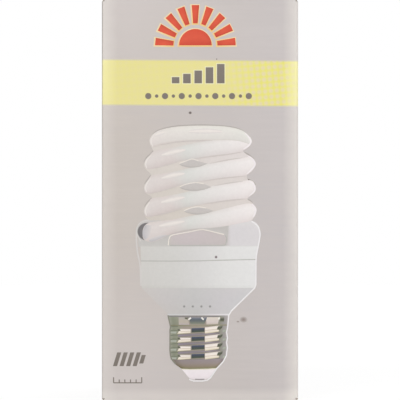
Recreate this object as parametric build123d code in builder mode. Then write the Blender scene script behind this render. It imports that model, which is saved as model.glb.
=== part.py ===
"""A tuck-top carton for a spiral energy saving lamp, with the lamp standing in it.

Millimetres, +Z up, printed front panel towards -Y, origin at the middle of the carton's base.
The lamp is laid out first, and the carton is folded round it.
"""
import os
from math import asin, cos, hypot, radians, sin

from build123d import *

os.makedirs("parts", exist_ok=True)

# Glass coil: two helices, half a turn apart, joined over the top
tube_diameter = 7.6
coil_diameter = 50.6        # outside the tubes
row_gap = 2.9               # clear height between neighbouring rows
half_turns = 4              # of each helix
leg_drop = 0.5              # how much steeper the lowest half turn is
crown_rise = 2.3            # how much steeper the highest half turn is
leg_arc = 50.0              # degrees of tube held in a socket

# Cover that holds the coil
rim_height = 6.3
plate_thickness = 2.0
leg_lift = 2.0              # clear height between a leg and the plate
socket_clearance = 0.2
mouth_gap = 1.0             # wider ring at the mouth of a socket
mouth_arc = 16.0            # degrees
row_clearance = 0.4         # between an ear and the row that passes over it
ear_wall = 1.7              # beyond the mouth's ring
ear_roof = 0.6              # above the mouth's ring
ear_round = 4.5
ear_back_arc = 6.0          # degrees of wall behind the end of a leg
ear_mouth_inset = 3.0       # degrees from the mouth to the first bend
ear_lap = 0.6               # how far the ears stop above the seam
ear_slope = 10.0            # height over which an ear leans out from the band
spigot_depth = 2.5
spigot_wall = 1.2
spigot_clearance = 0.1

# Ballast housing
band_overhang = 0.9         # how far the band stands outside the coil
band_draft = 0.2            # how much smaller the band is in radius at its foot
band_height = 12.7
cone_height = 12.8
neck_shoulder = 0.85        # how far the neck stands outside the screw cap
housing_wall = 1.4
ledge_width = 1.2
seam_chamfer = 0.3
vent_diameter = 1.4
vent_spacing = 12.2         # degrees
vents_in_row = 4
vent_height = 4.7           # above the neck's shoulder

# Screw cap
cap_height = 23.6           # shell only
shell_wall = 0.3
skirt_height = 5.0
thread_diameter = 26.3      # crests, and the plain skirt above them
thread_depth = 1.05
thread_pitch = 3.63
thread_groove = 2.6         # width of a groove between two crests
thread_root = 1.0           # width of a groove's floor
thread_turns = 4
neck_clearance = 0.05
neck_depth = 4.5
cap_mouth_diameter = 16.0   # opening at the shell's lower end
insulator_height = 4.6
insulator_foot = 10.4       # diameter where the contact sits
insulator_plug = 3.0        # part of the insulator inside the shell
insulator_clearance = 0.1
contact_inset = 0.4         # from the edge of the insulator's foot
contact_height = 1.0
contact_chamfer = 0.3

# Ballast
board_clearance = 0.2
circuit_thickness = 1.6
part_gap = 2.0              # between neighbouring parts on the board
capacitor_diameter = 9.0
capacitor_length = 18.0
capacitor_chamfer = 0.6
core_width = 13.0
core_height = 12.0
core_depth = 5.0
core_yoke = 2.0             # top and bottom bars of the core
core_limb = 2.2             # outer uprights
core_leg = 3.6              # middle upright
winding_clearance = 0.1
winding_build = 2.2         # thickness of wire round the middle upright
toroid_diameter = 8.0
toroid_bore = 4.0
toroid_height = 4.0
film_width = 10.0
film_thickness = 4.5
film_height = 8.0
film_round = 1.5
transistor_width = 7.6
transistor_thickness = 2.8
transistor_height = 10.5
transistor_hole = 3.2
lead_diameter = 0.8
lead_clearance = 0.1

# Carton
board = 0.5
side_clearance = 1.5        # from the lamp's ears to the panels
headroom = 6.45             # from the coil to the dust flaps
fold_radius = 0.8           # outside of a fold
glue_flap_width = 12.0
seam_setback = 0.2          # from the glue flap's fold to the back panel's raw edge
dust_flap_length = 20.0
dust_flap_corner = 6.0
dust_flap_setback = 3.0     # from the front face, leaves room for the tuck
dust_flap_relief = 0.5      # from the back panel
tuck_length = 12.0
tuck_corner = 5.0
tuck_gap = 0.35             # from the front panel
tuck_side_gap = 0.6
lid_side_gap = 0.3
crease_gap = 0.06           # between the lid and what it lies on
floor_slit = 0.4            # between the two outer floor flaps
floor_step = 9.0            # half the depth and half the width of the slit's slanting part
floor_split = 1.0           # between the two inner floor flaps

# Radii and heights of the lamp
tube_radius = tube_diameter / 2
coil_radius = coil_diameter / 2 - tube_radius
row_rise = tube_diameter + row_gap
socket_radius = tube_radius + socket_clearance
mouth_radius = tube_radius + mouth_gap
ear_radius = coil_radius + mouth_radius + ear_wall
ear_inner_radius = coil_radius - mouth_radius - ear_wall
band_radius = coil_diameter / 2 + band_overhang
band_bore = band_radius - housing_wall
ledge_radius = band_bore - ledge_width
neck_radius = thread_diameter / 2 + neck_shoulder
floor_top = 2 * board
contact_top = floor_top + contact_height
cap_bottom = contact_top + insulator_height
cap_top = cap_bottom + cap_height
cone_top = cap_top + cone_height
seam = cone_top + band_height
plate_top = seam + rim_height
leg_level = plate_top + leg_lift + tube_radius
leg_rise = row_rise + leg_drop
plate_bottom = plate_top - plate_thickness
crown_level = leg_level + leg_drop + half_turns * row_rise + crown_rise
coil_top = crown_level + tube_radius
board_top = seam - spigot_depth
board_bottom = board_top - circuit_thickness

# Sizes of the carton
inner_half = ear_radius + side_clearance
half = inner_half + board
bend_radius = fold_radius - board / 2
panel_top = coil_top + headroom + board
carton_height = panel_top + crease_gap + board


def around(radius, angle, height):
    """A point on a circle about the lamp's axis, with its angle from +X."""
    return (radius * cos(radians(angle)), radius * sin(radians(angle)), height)


def bent_sheet(corners):
    """Board folded along a line of corners, as a face of the board's thickness."""
    with BuildLine() as folded:
        FilletPolyline(*corners, radius=bend_radius)
    trace(folded.line, line_width=board)


# Half the coil: a level leg, tilted half circles and half of the level crown, all tangent arcs.
# Each half circle starts and ends level on the X axis, so the arcs join without a kink.
level = leg_level
with BuildPart() as coil_half:
    with BuildLine() as coil_line:
        ThreePointArc(
            around(coil_radius, 180 - leg_arc, leg_level),
            around(coil_radius, 180 - leg_arc / 2, leg_level),
            around(coil_radius, 180, leg_level),
        )
        for turn in range(half_turns):
            rise = leg_rise if turn == 0 else row_rise
            if turn == half_turns - 1:
                rise += crown_rise
            tilted_radius = hypot(coil_radius, rise / 2)
            heading = 180 + 180 * turn
            ThreePointArc(
                around(coil_radius, heading, level),
                around(tilted_radius, heading + 90, level + rise / 2),
                around(coil_radius, heading + 180, level + rise),
            )
            level += rise
        crown_start = 180 + 180 * half_turns
        crown_centre = Vector(*around(coil_radius / 2, crown_start, level))
        ThreePointArc(
            around(coil_radius, crown_start, level),
            crown_centre + Vector(*around(coil_radius / 2, crown_start + 90, 0)),
            (0, 0, level),
        )
    with BuildSketch(Plane(coil_line.line @ 0, z_dir=coil_line.line % 0)):
        Circle(tube_radius)
    sweep()

# The second helix is the first one turned half round, and both meet in the middle of the crown
with BuildPart() as spiral_tube:
    with PolarLocations(0, 2):
        add(coil_half.part)

# Cover: a capped ring with a spigot below the seam, and an ear with a socket for each leg
with BuildPart() as tube_cover:
    with BuildSketch(Plane.XZ):
        with BuildLine():
            Polyline(
                (0, plate_bottom),
                (0, plate_top),
                (band_radius - band_draft, plate_top),
                (band_radius, seam + seam_chamfer),
                (band_radius - seam_chamfer, seam),
                (band_bore - spigot_clearance, seam),
                (band_bore - spigot_clearance, board_top),
                (band_bore - spigot_clearance - spigot_wall, board_top),
                (band_bore - spigot_clearance - spigot_wall, plate_bottom),
                close=True,
            )
        make_face()
    revolve(axis=Axis.Z)
    ear_start = 180 - leg_arc - ear_back_arc
    ear_arc = leg_arc + ear_back_arc - ear_mouth_inset
    ear_top = leg_level + mouth_radius + ear_roof
    for side in (0, 180):
        with BuildSketch(Plane.XZ.rotated((0, 0, ear_start + side))):
            with BuildLine():
                Polyline(
                    (ear_inner_radius, plate_bottom),
                    (band_bore, plate_bottom),
                    (band_radius - band_draft, seam + ear_lap),
                    (ear_radius, seam + ear_lap + ear_slope),
                    (ear_radius, ear_top),
                    (ear_inner_radius, ear_top),
                    close=True,
                )
            ear_section = make_face()
            fillet(ear_section.vertices().group_by(Axis.Y)[-1], radius=ear_round)
        revolve(axis=Axis.Z, revolution_arc=ear_arc)
        for bore_radius, bore_arc in ((socket_radius, leg_arc), (mouth_radius, mouth_arc)):
            with BuildSketch(Plane.XZ.rotated((0, 0, 180 - bore_arc + side))):
                with Locations((coil_radius, leg_level)):
                    Circle(bore_radius)
            revolve(axis=Axis.Z, revolution_arc=bore_arc, mode=Mode.SUBTRACT)
        # Scoop in the ear under the other leg's first half circle, about that half circle's own axis
        with BuildSketch(Plane.XZ.rotated((0, 0, 180 + side))):
            with Locations((coil_radius, leg_level)):
                Circle(tube_radius + row_clearance)
        tilted_axis = Axis((0, 0, leg_level + leg_rise / 2), around(leg_rise / 2, 180 + side, coil_radius))
        revolve(axis=tilted_axis, revolution_arc=180, mode=Mode.SUBTRACT)

# Housing: a drawn-in cup with a ledge for the circuit board and a neck for the screw cap
cone_slope = cone_height / (band_radius - band_draft - neck_radius)
cone_lift = housing_wall * hypot(1, cone_slope)
neck_outer = thread_diameter / 2 - shell_wall - neck_clearance
neck_inner = neck_outer - housing_wall


def cone_inside(radius):
    """Height of the cone's inner face at a radius."""
    return cap_top + (radius - neck_radius) * cone_slope + cone_lift


with BuildPart() as lamp_housing:
    with BuildSketch(Plane.XZ):
        with BuildLine():
            Polyline(
                (band_radius - seam_chamfer, seam),
                (band_radius, seam - seam_chamfer),
                (band_radius - band_draft, cone_top),
                (neck_radius, cap_top),
                (neck_outer, cap_top),
                (neck_outer, cap_top - neck_depth),
                (neck_inner, cap_top - neck_depth),
                (neck_inner, cone_inside(neck_inner)),
                (ledge_radius, cone_inside(ledge_radius)),
                (ledge_radius, board_bottom),
                (band_bore, board_bottom),
                (band_bore, seam),
                close=True,
            )
        make_face()
    revolve(axis=Axis.Z)
    for face_angle in (90, 270):
        for place in range(vents_in_row):
            vent_angle = radians(face_angle + (place - (vents_in_row - 1) / 2) * vent_spacing)
            vent_aim = (cos(vent_angle), sin(vent_angle), 0)
            with BuildSketch(Plane((0, 0, cap_top + vent_height), z_dir=vent_aim)):
                Circle(vent_diameter / 2)
            extrude(amount=band_radius, mode=Mode.SUBTRACT)

# Screw cap: one thin rolled sheet with a plain skirt, thread rings and a drawn-in lower end
thread_top = cap_top - skirt_height
thread_bottom = thread_top - thread_turns * thread_pitch
crest = thread_diameter / 2
root = crest - thread_depth
mouth_lip = cap_mouth_diameter / 2
rings = []
for ring in range(thread_turns):
    ring_middle = thread_top - (ring + 0.5) * thread_pitch
    rings.append((crest, ring_middle + thread_groove / 2))
    rings.append((root, ring_middle + thread_root / 2))
    rings.append((root, ring_middle - thread_root / 2))
    rings.append((crest, ring_middle - thread_groove / 2))
with BuildPart() as screw_shell:
    with BuildSketch(Plane.XZ):
        with BuildLine():
            Polyline((crest, cap_top), *rings, (crest, thread_bottom))
            TangentArc((crest, thread_bottom), (mouth_lip, cap_bottom), tangent=(0, -1))
            offset(amount=shell_wall, side=Side.RIGHT, kind=Kind.INTERSECTION)
        make_face()
    revolve(axis=Axis.Z)

# Insulator in the lower end of the cap, bored for the lead
insulator_radius = mouth_lip - insulator_clearance
with BuildPart() as cap_insulator:
    with BuildSketch(Plane.XZ):
        with BuildLine():
            Polyline(
                (lead_diameter / 2 + lead_clearance, contact_top),
                (insulator_foot / 2, contact_top),
                (insulator_radius, cap_bottom),
                (insulator_radius, cap_bottom + insulator_plug),
                (lead_diameter / 2 + lead_clearance, cap_bottom + insulator_plug),
                close=True,
            )
        make_face()
    revolve(axis=Axis.Z)

# Centre contact, on which the lamp stands
with BuildPart() as centre_contact:
    with BuildSketch(Plane.XY.offset(floor_top)):
        Circle(insulator_foot / 2 - contact_inset)
    extrude(amount=contact_height)
    chamfer(centre_contact.edges().sort_by(Axis.Z)[0], length=contact_chamfer)

# Circuit board, clamped between the ledge and the cover's spigot
with BuildPart() as circuit_board:
    with BuildSketch(Plane.XY.offset(board_bottom)):
        Circle(band_bore - board_clearance)
    extrude(amount=circuit_thickness)

# Parts under the board. The lead hangs in the middle, with the capacitor and the choke beside it.
beside_lead = part_gap / 2
capacitor_x = -beside_lead - capacitor_diameter / 2
choke_x = beside_lead + core_width / 2
with BuildPart() as mains_capacitor:
    with BuildSketch(Plane.XY.offset(board_bottom)):
        with Locations((capacitor_x, 0)):
            Circle(capacitor_diameter / 2)
    extrude(amount=-capacitor_length)
    chamfer(mains_capacitor.edges().sort_by(Axis.Z)[0], length=capacitor_chamfer)

# Choke core: a frame with a middle leg, seen from the front
window_width = (core_width - core_leg) / 2 - core_limb
window_height = core_height - 2 * core_yoke
with BuildPart() as choke_core:
    with BuildSketch(Plane.XZ):
        with Locations((choke_x, board_bottom - core_height / 2)):
            Rectangle(core_width, core_height)
            with GridLocations(core_leg + window_width, 0, 2, 1):
                Rectangle(window_width, window_height, mode=Mode.SUBTRACT)
    extrude(amount=core_depth / 2, both=True)

# Winding round the middle leg, between the core's two bars
winding_bore_x = core_leg + 2 * winding_clearance
winding_bore_y = core_depth + 2 * winding_clearance
winding_build_x = window_width - 2 * winding_clearance
with BuildPart() as choke_winding:
    with BuildSketch(Plane.XY.offset(board_bottom - core_height + core_yoke + winding_clearance)):
        with Locations((choke_x, 0)):
            RectangleRounded(
                winding_bore_x + 2 * winding_build_x,
                winding_bore_y + 2 * winding_build,
                winding_build_x / 2,
            )
            Rectangle(winding_bore_x, winding_bore_y, mode=Mode.SUBTRACT)
    extrude(amount=window_height - 2 * winding_clearance)

# Ring core beside the capacitor
with BuildPart() as drive_toroid:
    with BuildSketch(Plane.XY.offset(board_bottom)):
        with Locations((capacitor_x - capacitor_diameter / 2 - part_gap - toroid_diameter / 2, 0)):
            Circle(toroid_diameter / 2)
            Circle(toroid_bore / 2, mode=Mode.SUBTRACT)
    extrude(amount=-toroid_height)

# Two film capacitors, one each side of the choke
beside_choke = winding_bore_y / 2 + winding_build + part_gap
with BuildPart() as film_capacitors:
    for side in (1, -1):
        with BuildSketch(Plane.XY.offset(board_bottom)):
            with Locations((choke_x, side * (beside_choke + film_thickness / 2))):
                RectangleRounded(film_width, film_thickness, film_round)
        extrude(amount=-film_height)

# Two transistors, one each side of the capacitor, with a hole through each tab
beside_capacitor = capacitor_diameter / 2 + part_gap
with BuildPart() as power_transistors:
    for side in (1, -1):
        transistor_y = side * (beside_capacitor + transistor_thickness / 2)
        with BuildSketch(Plane.XZ.offset(-transistor_y)):
            with Locations((capacitor_x, board_bottom - transistor_height / 2)):
                Rectangle(transistor_width, transistor_height)
                with Locations((0, transistor_hole - transistor_height / 2)):
                    Circle(transistor_hole / 2, mode=Mode.SUBTRACT)
        extrude(amount=transistor_thickness / 2, both=True)

# Lead from the board straight down to the centre contact
with BuildPart() as contact_lead:
    with BuildSketch(Plane.XY.offset(contact_top)):
        Circle(lead_diameter / 2)
    extrude(amount=board_bottom - contact_top)

# Carton body: one sheet folded into four panels, with its glue flap inside the back panel
wall_line = half - board / 2
flap_half = half - fold_radius
with BuildPart() as carton_body:
    with BuildSketch(Plane.XY.offset(board + fold_radius)):
        bent_sheet(
            [
                (-half + glue_flap_width, wall_line - board),
                (-wall_line, wall_line - board),
                (-wall_line, -wall_line),
                (wall_line, -wall_line),
                (wall_line, wall_line),
                (-half + fold_radius + seam_setback, wall_line),
            ]
        )
    extrude(amount=panel_top - board - fold_radius)
    # The side panels end below their folds, which the dust flaps make
    with BuildSketch(Plane.XY.offset(panel_top)):
        with GridLocations(2 * half, 0, 2, 1):
            Rectangle(2 * fold_radius, 2 * half)
    extrude(amount=-fold_radius, mode=Mode.SUBTRACT)
    for side in (1, -1):
        # Dust flap, folded in from the top of a side panel
        dust_back = inner_half - board - dust_flap_relief
        with BuildSketch(Plane.XZ.offset(-dust_back)):
            bent_sheet(
                [
                    (side * wall_line, panel_top - 2 * fold_radius),
                    (side * wall_line, panel_top - board / 2),
                    (side * (half - dust_flap_length), panel_top - board / 2),
                ]
            )
        extrude(amount=dust_back + half - dust_flap_setback)
        # Inner floor flap, folded in from the bottom of a side panel
        with BuildSketch(Plane.XZ.offset(-flap_half)):
            bent_sheet(
                [
                    (side * wall_line, board + 2 * fold_radius),
                    (side * wall_line, board + board / 2),
                    (side * floor_split / 2, board + board / 2),
                ]
            )
        extrude(amount=2 * flap_half)
        # Fold of an outer floor flap, at the bottom of the front or back panel
        with BuildSketch(Plane.YZ.offset(-flap_half)):
            bent_sheet(
                [
                    (side * wall_line, board + 2 * fold_radius),
                    (side * wall_line, board / 2),
                    (side * (half - 2 * fold_radius), board / 2),
                ]
            )
        extrude(amount=2 * flap_half)
    # The two outer floor flaps lock along a Z-shaped slit
    with BuildSketch(Plane.XY):
        with PolarLocations(0, 2):
            Polygon(
                (-flap_half, -flap_half),
                (flap_half, -flap_half),
                (flap_half, -floor_step - floor_slit / 2),
                (floor_step, -floor_step - floor_slit / 2),
                (-floor_step, floor_step - floor_slit / 2),
                (-flap_half, floor_step - floor_slit / 2),
                align=None,
            )
    extrude(amount=board)
    flap_tips = carton_body.edges().filter_by(Axis.Z)
    flap_tips = flap_tips.filter_by(lambda edge: abs(abs(edge.center().X) - half + dust_flap_length) < board / 2)
    fillet(flap_tips.filter_by(lambda edge: edge.center().Z > coil_top), radius=dust_flap_corner)

# Lid with its tuck, hinged along the top of the back panel.
# The tuck leans in, so that its tip swings on the same circle as its crease.
lid_line = carton_height - board / 2
crease_y = -inner_half + tuck_gap + board / 2
lid_depth = half - crease_y
tuck_lean = asin(tuck_length / (2 * lid_depth))
lid_half = half - lid_side_gap
tuck_half = inner_half - tuck_side_gap
with BuildPart() as top_lid:
    with BuildSketch(Plane.YZ.offset(-lid_half)):
        bent_sheet(
            [
                (half, lid_line),
                (crease_y, lid_line),
                (crease_y + tuck_length * sin(tuck_lean), lid_line - tuck_length * cos(tuck_lean)),
            ]
        )
    extrude(amount=2 * lid_half)
    # The tuck is narrower than the lid, to go between the side panels
    with BuildSketch(Plane.XY.offset(carton_height - board)):
        Rectangle(2 * half, 2 * half)
        Rectangle(2 * tuck_half, 2 * half, mode=Mode.SUBTRACT)
    extrude(amount=-tuck_length, mode=Mode.SUBTRACT)
    tuck_edge = top_lid.faces().sort_by(Axis.Z)[0]
    fillet(tuck_edge.edges().sort_by(SortBy.LENGTH)[:2], radius=tuck_corner)

pieces = {
    "carton_body": carton_body,
    "top_lid": top_lid,
    "spiral_tube": spiral_tube,
    "tube_cover": tube_cover,
    "lamp_housing": lamp_housing,
    "screw_shell": screw_shell,
    "cap_insulator": cap_insulator,
    "centre_contact": centre_contact,
    "circuit_board": circuit_board,
    "mains_capacitor": mains_capacitor,
    "choke_core": choke_core,
    "choke_winding": choke_winding,
    "drive_toroid": drive_toroid,
    "film_capacitors": film_capacitors,
    "power_transistors": power_transistors,
    "contact_lead": contact_lead,
}
for name, piece in pieces.items():
    piece.part.label = name
    export_step(piece.part, f"parts/{name}.step")

print("carton", round(2 * half, 2), "by", round(2 * half, 2), "by", round(carton_height, 2))
print("lamp", round(coil_top - floor_top, 2), "long,", round(2 * ear_radius, 2), "across the ears")
print("lid hinge at y", round(half, 3), "z", round(panel_top + crease_gap / 2, 3))
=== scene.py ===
from functools import partial

import bmesh
import bpy
import numpy as np
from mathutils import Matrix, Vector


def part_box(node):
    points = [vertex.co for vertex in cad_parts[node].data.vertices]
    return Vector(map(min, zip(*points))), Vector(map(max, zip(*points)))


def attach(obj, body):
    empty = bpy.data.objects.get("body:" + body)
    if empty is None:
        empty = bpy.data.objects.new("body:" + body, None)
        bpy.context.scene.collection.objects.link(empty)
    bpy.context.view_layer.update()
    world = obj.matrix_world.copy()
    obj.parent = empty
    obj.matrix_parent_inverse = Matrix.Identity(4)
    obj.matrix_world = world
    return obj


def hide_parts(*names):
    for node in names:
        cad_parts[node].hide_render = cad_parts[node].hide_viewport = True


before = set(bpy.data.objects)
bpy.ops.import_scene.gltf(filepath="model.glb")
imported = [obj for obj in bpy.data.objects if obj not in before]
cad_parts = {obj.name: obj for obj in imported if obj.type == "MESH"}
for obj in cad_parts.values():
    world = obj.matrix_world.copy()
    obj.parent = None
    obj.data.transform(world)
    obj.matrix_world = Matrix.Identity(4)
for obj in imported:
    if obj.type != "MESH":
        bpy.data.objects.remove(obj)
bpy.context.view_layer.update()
mm = 0.001
print("frame loaded with", len(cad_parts), "nodes")


def boxMm(node):  # lowest and highest corner of a node's box
    return [np.array(corner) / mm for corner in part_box(node)]


def linear(hexText):  # sRGB hex to linear RGBA
    code = np.array([int(hexText[i:i + 2], 16) for i in (1, 3, 5)]) / 255
    value = np.where(code <= 0.04045, code / 12.92, ((code + 0.055) / 1.055) ** 2.4)
    return (*value.tolist(), 1.0)


# Inputs go from a socket's name or number to a value, an output or a node, meaning its first output in use,
# or they are a list for the sockets from the first on. Stops are a ramp's colours by their place on it.
def addNode(tree, kind, inputs, stops=None, **settings):
    node = tree.nodes.new("ShaderNode" + kind)
    for key, value in settings.items():
        setattr(node, key, value)
    named = inputs if isinstance(inputs, dict) else dict(enumerate(inputs))
    for key, value in named.items():
        if isinstance(value, bpy.types.Node):
            value = next(output for output in value.outputs if output.enabled)
        if isinstance(value, bpy.types.NodeSocket):
            tree.links.new(value, node.inputs[key])
        else:
            node.inputs[key].default_value = value
    if stops:
        marks = node.color_ramp.elements
        for extra in range(len(stops) - len(marks)):
            marks.new(1.0)
        for number, (place, hexText) in enumerate(stops.items()):
            marks[number].position = place
            marks[number].color = linear(hexText)
    return node


rgba = {"data_type": "RGBA"}  # settings of nodes that mix colours, and that multiply them
times = {"data_type": "RGBA", "blend_type": "MULTIPLY"}


def noise(add, at, lump, detail, grain=0.5):  # cloudy, with lumps of so many mm
    return add("TexNoise", {"Vector": at, "Scale": 1 / lump, "Detail": detail, "Roughness": grain})


def mix(add, share, a, b, **settings):
    return add("Mix", {"Factor": share, "A": a, "B": b}, **settings)


# An empty material, the adding of nodes to it, Object coordinates in millimetres and the mesh's own UV
def newMaterial(name):
    material = bpy.data.materials.new(name)
    material.use_nodes = True
    material.node_tree.nodes.clear()
    add = partial(addNode, material.node_tree)
    place = add("TexCoord", {})
    inMm = add("VectorMath", {0: place.outputs["Object"], "Scale": 1 / mm}, operation="SCALE")
    return material, add, inMm, place.outputs["UV"]


# A Principled shader with a relief, its depth in mm
def closeMaterial(material, inputs, height, depth, strength):
    add = partial(addNode, material.node_tree)
    relief = add("Bump", {"Height": height, "Distance": depth * mm, "Strength": strength})
    shader = add("BsdfPrincipled", {**inputs, "Normal": relief})
    add("OutputMaterial", {"Surface": shader})
    return material


# Colour ramped over cloudy noise with lumps of so many mm, and the same noise as relief
def mottled(name, stops, lump, inputs, relief, detail=3.0, grain=0.5):
    material, add, at, _ = newMaterial(name)
    cloud = noise(add, at, lump, detail, grain)
    colour = add("ValToRGB", [cloud], stops)
    return closeMaterial(material, {"Base Color": colour, **inputs}, cloud, *relief)


# A node's own mesh takes these materials, and sides says which of them each face shows
def dress(node, *materials, sides=None):
    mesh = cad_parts[node].data
    mesh.materials.clear()
    for material in materials:
        mesh.materials.append(material)
    if sides is not None:
        mesh.polygons.foreach_set("material_index", sides.astype(np.int32))
        mesh.update()


# One mesh from grids of points (rows, columns, xyz in mm). UV is the grid's own (column, row) from 0 to 1.
# A closed direction joins its last line to its first, and points that meet at a pole or a seam become one.
def surfacePiece(name, grids, material, closed=(False, False), smooth=True):
    corners, quads, places, count = [], [], [], 0
    for points in grids:
        rows, columns = points.shape[:2]
        i = np.arange(rows if closed[0] else rows - 1)[:, None]
        j = np.arange(columns if closed[1] else columns - 1)[None, :]
        row, nextRow = i * columns, (i + 1) % rows * columns
        nextColumn = (j + 1) % columns
        cells = [row + j, row + nextColumn, nextRow + nextColumn, nextRow + j]
        quads.append(np.stack(cells, -1).reshape(-1, 4) + count)
        corners.append(points.reshape(-1, 3))
        u, v = np.meshgrid(np.linspace(0, 1, columns), np.linspace(0, 1, rows))
        places.append(np.stack([u, v], -1).reshape(-1, 2))
        count += rows * columns
    corners = np.concatenate(corners) * mm
    quads = np.concatenate(quads)
    places = np.concatenate(places)
    mesh = bpy.data.meshes.new(name)
    mesh.from_pydata(corners.tolist(), [], quads.tolist())
    mesh.uv_layers.new(name="grid").data.foreach_set("uv", places[quads.ravel()].ravel())
    mesh.polygons.foreach_set("use_smooth", np.full(len(quads), smooth))
    mesh.materials.append(material)
    weld = 1e-4 * mm
    joined = bmesh.new()
    joined.from_mesh(mesh)
    bmesh.ops.remove_doubles(joined, verts=joined.verts, dist=weld)
    bmesh.ops.dissolve_degenerate(joined, edges=joined.edges, dist=weld)
    joined.to_mesh(mesh)
    joined.free()
    mesh.update()
    piece = bpy.data.objects.new(name, mesh)
    bpy.context.collection.objects.link(piece)
    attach(piece, "carton")
    return piece


# Carton board

cartonLook = {
    "ground": {0.3: "#c6c0bf", 0.5: "#c9c2bf", 0.7: "#ccc5c2"},  # cool to warm
    "cloud": 34.0,  # mm across a cloud of the ground
    "streak": 0.9,  # mm up a level streak of it, and the streaks' share
    "streakShare": 0.4,
    "lightTint": {0.1: "#fffdf8", 0.9: "#fdfdff"},  # painted tint of the light, warm on the left to cool on the right
    "leftLight": "#d6cfd0",  # painted light: paler ground on the left, towards the top and the base
    "fade": (66.0, 15.0, 58.0, 0.42),  # middle height of the painted light, start and end of its paling from there, how far it goes
    "lightSide": (1 / 3, -0.7),  # x where it starts and where it is full, over the half width
    "dots": {0.1: "#e6d9b0", 0.6: "#e9e378"},  # yellow band, from a dot's pale middle outwards
    "dotMean": 0.355,  # place on that ramp where no dots show
    "dotsFrom": (6.0, 18.0, 0.12),  # x where they are faint and where they are clear, and how faint
    "dotSpacing": 1.8025,  # drawn coarser than the real screen so that it shows
    "dotTilt": 0.09,  # rise of its rows to the right, in radians
    "dotShift": (0.48, -0.64, 0.89),  # puts its dots on the front face
    "band": (90.75, 104.49),  # height of the yellow band at the panel's middle
    "bandTilt": 0.007,  # its fall to the right
    "bandEdge": 0.3,  # half the width of its soft edge
    "wornAndLit": "#e4ded8",  # folds and base: ink rubbed thin at the folds, with painted light on their curve and along the base
    "wornAndLitYellow": "#fcf6ba",
    "foldPale": (4.0, -0.4),  # where the paling of a fold starts and is full, in from it
    "grit": (2.2, 1.4),  # mm from one notch in the pale edge to the next, and how deep they go
    "paleLeft": (0.42, 0.64),  # share of paling on the left, below and above the yellow
    "paleRight": 0.8,
    "base": (4.5, 2.3, 0.0, 0.45),  # painted light in a paler strip along the base: its start and full height, and shares there
    # painted shade: the dark line down the front left fold
    "foldShade": "#847c76",
    "shadeEdge": 0.4,  # width of the shaded line
    "shadeRise": (70.0, 115.0, 0.4),  # heights where it is faint and where it is full, and how faint
    "shadeFront": (2.0, 1.0, 0.6),  # where it starts and is full, in from the front, and its share there
}
varnish = {  # over all print
    "fibre": 0.8,  # mm from one fibre to the next
    "sheen": {"Roughness": 0.5, "Specular IOR Level": 0.35},
    "relief": (0.03, 0.25),  # of the fibres
}
cartonLow, cartonHigh = boxMm("carton_body")
half = cartonHigh[0]


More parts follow.
